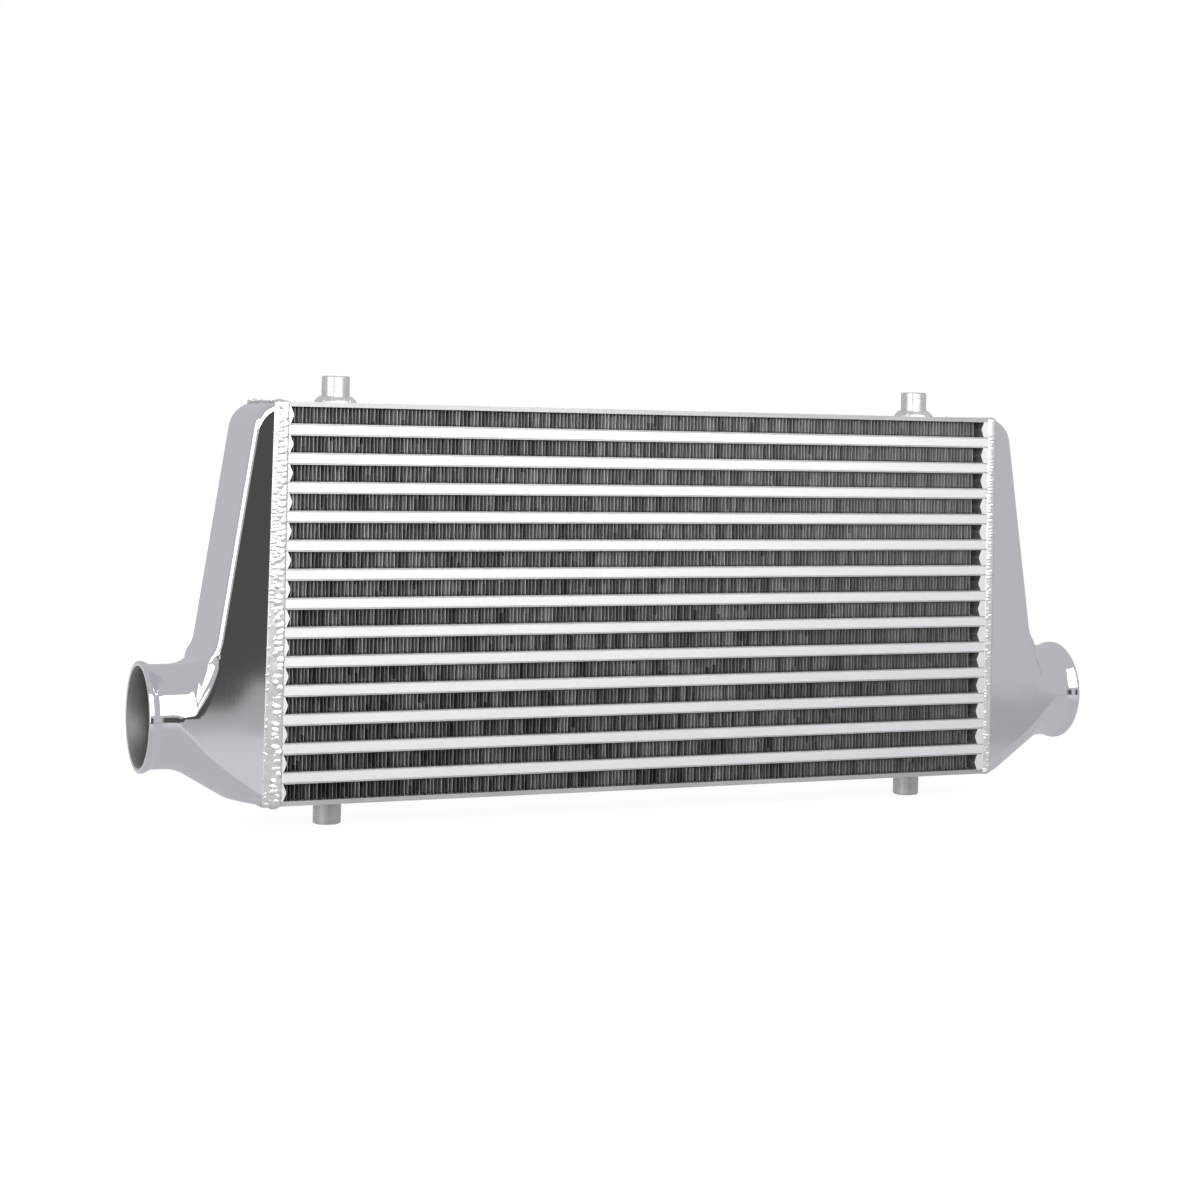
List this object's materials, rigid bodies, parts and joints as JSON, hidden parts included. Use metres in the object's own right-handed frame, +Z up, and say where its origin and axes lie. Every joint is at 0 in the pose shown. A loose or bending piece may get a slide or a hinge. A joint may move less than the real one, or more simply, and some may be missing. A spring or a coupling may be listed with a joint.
{
  "type": "intercooler",
  "caption": "Bar-and-plate charge-air cooler with a finned rectangular core between two cast end tanks, a round hose neck low on each end and threaded bosses above and below.",
  "frame": {"origin": "centre of the core, which is the centre of the whole cooler's box", "axes": "+X from the left tank to the right one, -Y out of the front face, +Z up"},
  "size_m": [0.7874, 0.081, 0.3338],
  "materials": {
    "bar_metal": "bright extruded bar, lightly brushed along its length",
    "fin_strip": "thin rolled strip, dull after furnace brazing",
    "side_plate": "rolled plate, dull after furnace brazing",
    "cast_tank": "fine-grained casting, ground and polished to a soft mirror",
    "weld_bead": "rippled weld metal, bright",
    "boss_metal": "turned bar, fine tool marks"
  },
  "bodies": {
    "root": {"front_bar_01": "bar_metal", "back_bar_01": "bar_metal", "front_bar_02": "bar_metal", "back_bar_02": "bar_metal", "front_bar_03": "bar_metal", "back_bar_03": "bar_metal", "front_bar_04": "bar_metal", "back_bar_04": "bar_metal", "front_bar_05": "bar_metal", "back_bar_05": "bar_metal", "front_bar_06": "bar_metal", "back_bar_06": "bar_metal", "front_bar_07": "bar_metal", "back_bar_07": "bar_metal", "front_bar_08": "bar_metal", "back_bar_08": "bar_metal", "front_bar_09": "bar_metal", "back_bar_09": "bar_metal", "front_bar_10": "bar_metal", "back_bar_10": "bar_metal", "front_bar_11": "bar_metal", "back_bar_11": "bar_metal", "front_bar_12": "bar_metal", "back_bar_12": "bar_metal", "front_bar_13": "bar_metal", "back_bar_13": "bar_metal", "ambient_fin_01": "fin_strip", "ambient_fin_02": "fin_strip", "ambient_fin_03": "fin_strip", "ambient_fin_04": "fin_strip", "ambient_fin_05": "fin_strip", "ambient_fin_06": "fin_strip", "ambient_fin_07": "fin_strip", "ambient_fin_08": "fin_strip", "ambient_fin_09": "fin_strip", "ambient_fin_10": "fin_strip", "ambient_fin_11": "fin_strip", "ambient_fin_12": "fin_strip", "ambient_fin_13": "fin_strip", "ambient_fin_14": "fin_strip", "left_end_bars": "bar_metal", "right_end_bars": "bar_metal", "parting_sheets": "side_plate", "charge_fins": "fin_strip", "top_plate": "side_plate", "bottom_plate": "side_plate", "left_tank": "cast_tank", "right_tank": "cast_tank", "left_tank_weld": "weld_bead", "right_tank_weld": "weld_bead", "top_bosses": "boss_metal", "bottom_bosses": "boss_metal", "top_boss_welds": "weld_bead", "bottom_boss_welds": "weld_bead"}
  },
  "joints": []
}
